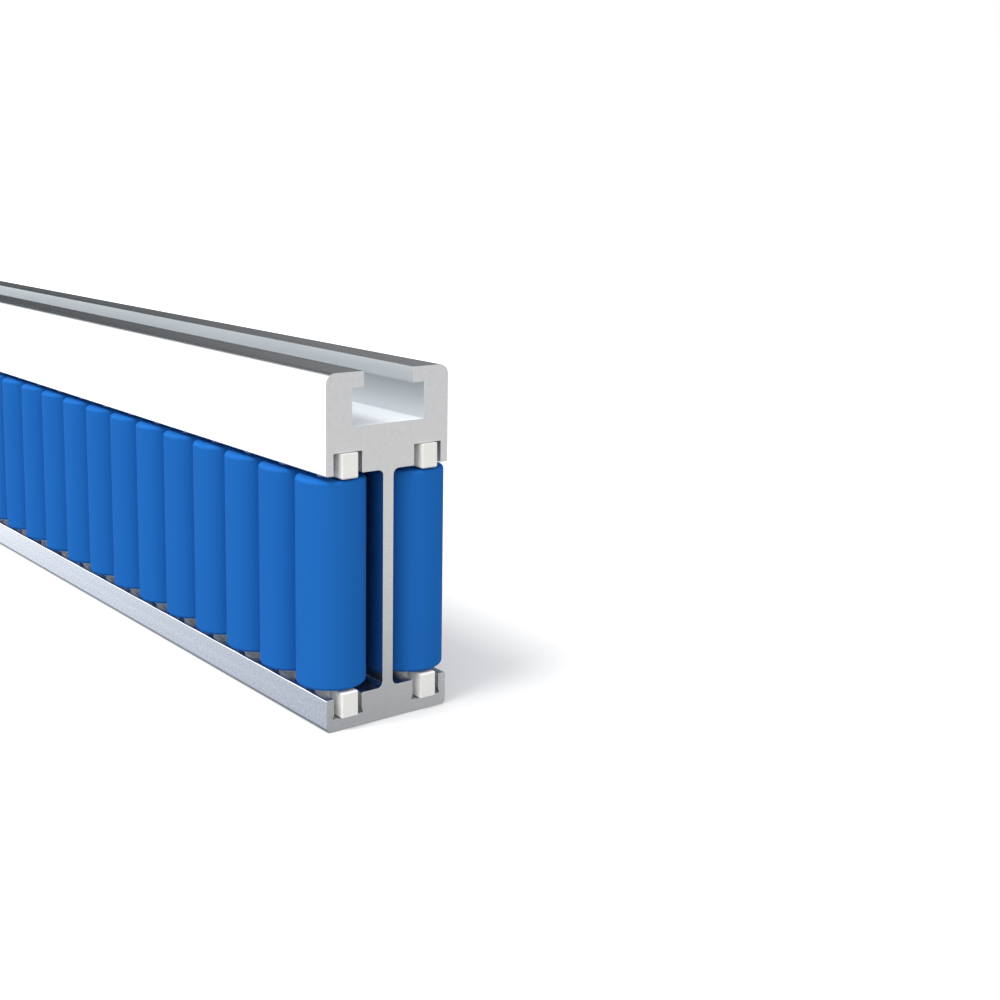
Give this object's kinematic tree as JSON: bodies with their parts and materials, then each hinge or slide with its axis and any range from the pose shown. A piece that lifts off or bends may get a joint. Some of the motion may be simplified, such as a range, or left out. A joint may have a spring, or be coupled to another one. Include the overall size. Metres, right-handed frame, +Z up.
{
  "type": "flow rack roller track",
  "caption": "Upright I-profile track in aluminium with a T-slot head and a row of free-turning cylindrical plastic rollers down each side.",
  "frame": {"origin": "centre of the track's underside, half way along its length", "axes": "+Z up from the base to the T-slot, +Y along the track away from the near end, +X across it to the right-hand row of rollers"},
  "size_m": [0.0456, 0.3998, 0.099],
  "materials": {
    "anodised_aluminium": "natural anodised, satin",
    "white_plastic": "moulded, satin",
    "steel": "drawn stainless pin",
    "blue_plastic": "turned, satin"
  },
  "bodies": {
    "track": {"profile": "anodised_aluminium", "carriers_head_left": "white_plastic", "carriers_head_right": "white_plastic", "carriers_base_left": "white_plastic", "carriers_base_right": "white_plastic", "axles_left": "steel", "axles_right": "steel"},
    "roller_left_01_body": {"roller_left_01": "blue_plastic"},
    "roller_left_02_body": {"roller_left_02": "blue_plastic"},
    "roller_left_03_body": {"roller_left_03": "blue_plastic"},
    "roller_left_04_body": {"roller_left_04": "blue_plastic"},
    "roller_left_05_body": {"roller_left_05": "blue_plastic"},
    "roller_left_06_body": {"roller_left_06": "blue_plastic"},
    "roller_left_07_body": {"roller_left_07": "blue_plastic"},
    "roller_left_08_body": {"roller_left_08": "blue_plastic"},
    "roller_left_09_body": {"roller_left_09": "blue_plastic"},
    "roller_left_10_body": {"roller_left_10": "blue_plastic"},
    "roller_left_11_body": {"roller_left_11": "blue_plastic"},
    "roller_left_12_body": {"roller_left_12": "blue_plastic"},
    "roller_left_13_body": {"roller_left_13": "blue_plastic"},
    "roller_left_14_body": {"roller_left_14": "blue_plastic"},
    "roller_left_15_body": {"roller_left_15": "blue_plastic"},
    "roller_left_16_body": {"roller_left_16": "blue_plastic"},
    "roller_left_17_body": {"roller_left_17": "blue_plastic"},
    "roller_left_18_body": {"roller_left_18": "blue_plastic"},
    "roller_left_19_body": {"roller_left_19": "blue_plastic"},
    "roller_left_20_body": {"roller_left_20": "blue_plastic"},
    "roller_right_01_body": {"roller_right_01": "blue_plastic"},
    "roller_right_02_body": {"roller_right_02": "blue_plastic"},
    "roller_right_03_body": {"roller_right_03": "blue_plastic"},
    "roller_right_04_body": {"roller_right_04": "blue_plastic"},
    "roller_right_05_body": {"roller_right_05": "blue_plastic"},
    "roller_right_06_body": {"roller_right_06": "blue_plastic"},
    "roller_right_07_body": {"roller_right_07": "blue_plastic"},
    "roller_right_08_body": {"roller_right_08": "blue_plastic"},
    "roller_right_09_body": {"roller_right_09": "blue_plastic"},
    "roller_right_10_body": {"roller_right_10": "blue_plastic"},
    "roller_right_11_body": {"roller_right_11": "blue_plastic"},
    "roller_right_12_body": {"roller_right_12": "blue_plastic"},
    "roller_right_13_body": {"roller_right_13": "blue_plastic"},
    "roller_right_14_body": {"roller_right_14": "blue_plastic"},
    "roller_right_15_body": {"roller_right_15": "blue_plastic"},
    "roller_right_16_body": {"roller_right_16": "blue_plastic"},
    "roller_right_17_body": {"roller_right_17": "blue_plastic"},
    "roller_right_18_body": {"roller_right_18": "blue_plastic"},
    "roller_right_19_body": {"roller_right_19": "blue_plastic"},
    "roller_right_20_body": {"roller_right_20": "blue_plastic"}
  },
  "joints": [
    {"name": "spin_left_01", "type": "hinge", "parent": "track", "child": "roller_left_01_body", "pos_m": [-0.0131, -0.19, 0.04057], "axis": [0, 0, 1], "continuous": true},
    {"name": "spin_left_02", "type": "hinge", "parent": "track", "child": "roller_left_02_body", "pos_m": [-0.0131, -0.17, 0.04057], "axis": [0, 0, 1], "continuous": true},
    {"name": "spin_left_03", "type": "hinge", "parent": "track", "child": "roller_left_03_body", "pos_m": [-0.0131, -0.15, 0.04057], "axis": [0, 0, 1], "continuous": true},
    {"name": "spin_left_04", "type": "hinge", "parent": "track", "child": "roller_left_04_body", "pos_m": [-0.0131, -0.13, 0.04057], "axis": [0, 0, 1], "continuous": true},
    {"name": "spin_left_05", "type": "hinge", "parent": "track", "child": "roller_left_05_body", "pos_m": [-0.0131, -0.11, 0.04057], "axis": [0, 0, 1], "continuous": true},
    {"name": "spin_left_06", "type": "hinge", "parent": "track", "child": "roller_left_06_body", "pos_m": [-0.0131, -0.09, 0.04057], "axis": [0, 0, 1], "continuous": true},
    {"name": "spin_left_07", "type": "hinge", "parent": "track", "child": "roller_left_07_body", "pos_m": [-0.0131, -0.07, 0.04057], "axis": [0, 0, 1], "continuous": true},
    {"name": "spin_left_08", "type": "hinge", "parent": "track", "child": "roller_left_08_body", "pos_m": [-0.0131, -0.05, 0.04057], "axis": [0, 0, 1], "continuous": true},
    {"name": "spin_left_09", "type": "hinge", "parent": "track", "child": "roller_left_09_body", "pos_m": [-0.0131, -0.03, 0.04057], "axis": [0, 0, 1], "continuous": true},
    {"name": "spin_left_10", "type": "hinge", "parent": "track", "child": "roller_left_10_body", "pos_m": [-0.0131, -0.01, 0.04057], "axis": [0, 0, 1], "continuous": true},
    {"name": "spin_left_11", "type": "hinge", "parent": "track", "child": "roller_left_11_body", "pos_m": [-0.0131, 0.01, 0.04057], "axis": [0, 0, 1], "continuous": true},
    {"name": "spin_left_12", "type": "hinge", "parent": "track", "child": "roller_left_12_body", "pos_m": [-0.0131, 0.03, 0.04057], "axis": [0, 0, 1], "continuous": true},
    {"name": "spin_left_13", "type": "hinge", "parent": "track", "child": "roller_left_13_body", "pos_m": [-0.0131, 0.05, 0.04057], "axis": [0, 0, 1], "continuous": true},
    {"name": "spin_left_14", "type": "hinge", "parent": "track", "child": "roller_left_14_body", "pos_m": [-0.0131, 0.07, 0.04057], "axis": [0, 0, 1], "continuous": true},
    {"name": "spin_left_15", "type": "hinge", "parent": "track", "child": "roller_left_15_body", "pos_m": [-0.0131, 0.09, 0.04057], "axis": [0, 0, 1], "continuous": true},
    {"name": "spin_left_16", "type": "hinge", "parent": "track", "child": "roller_left_16_body", "pos_m": [-0.0131, 0.11, 0.04057], "axis": [0, 0, 1], "continuous": true},
    {"name": "spin_left_17", "type": "hinge", "parent": "track", "child": "roller_left_17_body", "pos_m": [-0.0131, 0.13, 0.04057], "axis": [0, 0, 1], "continuous": true},
    {"name": "spin_left_18", "type": "hinge", "parent": "track", "child": "roller_left_18_body", "pos_m": [-0.0131, 0.15, 0.04057], "axis": [0, 0, 1], "continuous": true},
    {"name": "spin_left_19", "type": "hinge", "parent": "track", "child": "roller_left_19_body", "pos_m": [-0.0131, 0.17, 0.04057], "axis": [0, 0, 1], "continuous": true},
    {"name": "spin_left_20", "type": "hinge", "parent": "track", "child": "roller_left_20_body", "pos_m": [-0.0131, 0.19, 0.04057], "axis": [0, 0, 1], "continuous": true},
    {"name": "spin_right_01", "type": "hinge", "parent": "track", "child": "roller_right_01_body", "pos_m": [0.0131, -0.19, 0.04057], "axis": [0, 0, 1], "continuous": true},
    {"name": "spin_right_02", "type": "hinge", "parent": "track", "child": "roller_right_02_body", "pos_m": [0.0131, -0.17, 0.04057], "axis": [0, 0, 1], "continuous": true},
    {"name": "spin_right_03", "type": "hinge", "parent": "track", "child": "roller_right_03_body", "pos_m": [0.0131, -0.15, 0.04057], "axis": [0, 0, 1], "continuous": true},
    {"name": "spin_right_04", "type": "hinge", "parent": "track", "child": "roller_right_04_body", "pos_m": [0.0131, -0.13, 0.04057], "axis": [0, 0, 1], "continuous": true},
    {"name": "spin_right_05", "type": "hinge", "parent": "track", "child": "roller_right_05_body", "pos_m": [0.0131, -0.11, 0.04057], "axis": [0, 0, 1], "continuous": true},
    {"name": "spin_right_06", "type": "hinge", "parent": "track", "child": "roller_right_06_body", "pos_m": [0.0131, -0.09, 0.04057], "axis": [0, 0, 1], "continuous": true},
    {"name": "spin_right_07", "type": "hinge", "parent": "track", "child": "roller_right_07_body", "pos_m": [0.0131, -0.07, 0.04057], "axis": [0, 0, 1], "continuous": true},
    {"name": "spin_right_08", "type": "hinge", "parent": "track", "child": "roller_right_08_body", "pos_m": [0.0131, -0.05, 0.04057], "axis": [0, 0, 1], "continuous": true},
    {"name": "spin_right_09", "type": "hinge", "parent": "track", "child": "roller_right_09_body", "pos_m": [0.0131, -0.03, 0.04057], "axis": [0, 0, 1], "continuous": true},
    {"name": "spin_right_10", "type": "hinge", "parent": "track", "child": "roller_right_10_body", "pos_m": [0.0131, -0.01, 0.04057], "axis": [0, 0, 1], "continuous": true},
    {"name": "spin_right_11", "type": "hinge", "parent": "track", "child": "roller_right_11_body", "pos_m": [0.0131, 0.01, 0.04057], "axis": [0, 0, 1], "continuous": true},
    {"name": "spin_right_12", "type": "hinge", "parent": "track", "child": "roller_right_12_body", "pos_m": [0.0131, 0.03, 0.04057], "axis": [0, 0, 1], "continuous": true},
    {"name": "spin_right_13", "type": "hinge", "parent": "track", "child": "roller_right_13_body", "pos_m": [0.0131, 0.05, 0.04057], "axis": [0, 0, 1], "continuous": true},
    {"name": "spin_right_14", "type": "hinge", "parent": "track", "child": "roller_right_14_body", "pos_m": [0.0131, 0.07, 0.04057], "axis": [0, 0, 1], "continuous": true},
    {"name": "spin_right_15", "type": "hinge", "parent": "track", "child": "roller_right_15_body", "pos_m": [0.0131, 0.09, 0.04057], "axis": [0, 0, 1], "continuous": true},
    {"name": "spin_right_16", "type": "hinge", "parent": "track", "child": "roller_right_16_body", "pos_m": [0.0131, 0.11, 0.04057], "axis": [0, 0, 1], "continuous": true},
    {"name": "spin_right_17", "type": "hinge", "parent": "track", "child": "roller_right_17_body", "pos_m": [0.0131, 0.13, 0.04057], "axis": [0, 0, 1], "continuous": true},
    {"name": "spin_right_18", "type": "hinge", "parent": "track", "child": "roller_right_18_body", "pos_m": [0.0131, 0.15, 0.04057], "axis": [0, 0, 1], "continuous": true},
    {"name": "spin_right_19", "type": "hinge", "parent": "track", "child": "roller_right_19_body", "pos_m": [0.0131, 0.17, 0.04057], "axis": [0, 0, 1], "continuous": true},
    {"name": "spin_right_20", "type": "hinge", "parent": "track", "child": "roller_right_20_body", "pos_m": [0.0131, 0.19, 0.04057], "axis": [0, 0, 1], "continuous": true}
  ]
}
